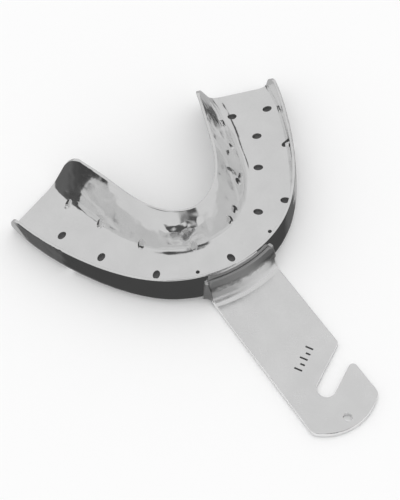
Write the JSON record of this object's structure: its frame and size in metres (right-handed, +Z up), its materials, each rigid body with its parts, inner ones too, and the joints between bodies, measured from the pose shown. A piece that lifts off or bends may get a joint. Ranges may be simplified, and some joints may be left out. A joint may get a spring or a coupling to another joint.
{
  "type": "dental impression tray",
  "caption": "Pressed, perforated steel tray for a lower dental arch: a horseshoe channel with a flat soldered handle that has a hook slot and a hang hole.",
  "frame": {"origin": "middle of the part's length and width, on the plane of its flat underside", "axes": "+Z up out of the channel, +Y towards the open ends of the arch, -Y along the handle, +X towards the arm that the hook slot opens to"},
  "size_m": [0.0792, 0.0988, 0.0135],
  "materials": {
    "tray_steel": "polished stainless steel, lightly scratched and smudged",
    "handle_steel": "satin stainless steel",
    "silver_solder": "dull, slightly rippled",
    "mark_enamel": "matt black fill"
  },
  "bodies": {
    "root": {"tray_body": "tray_steel", "handle": "handle_steel", "solder_seam": "silver_solder", "solder_beads": "silver_solder", "mark_fill": "mark_enamel"}
  },
  "joints": []
}
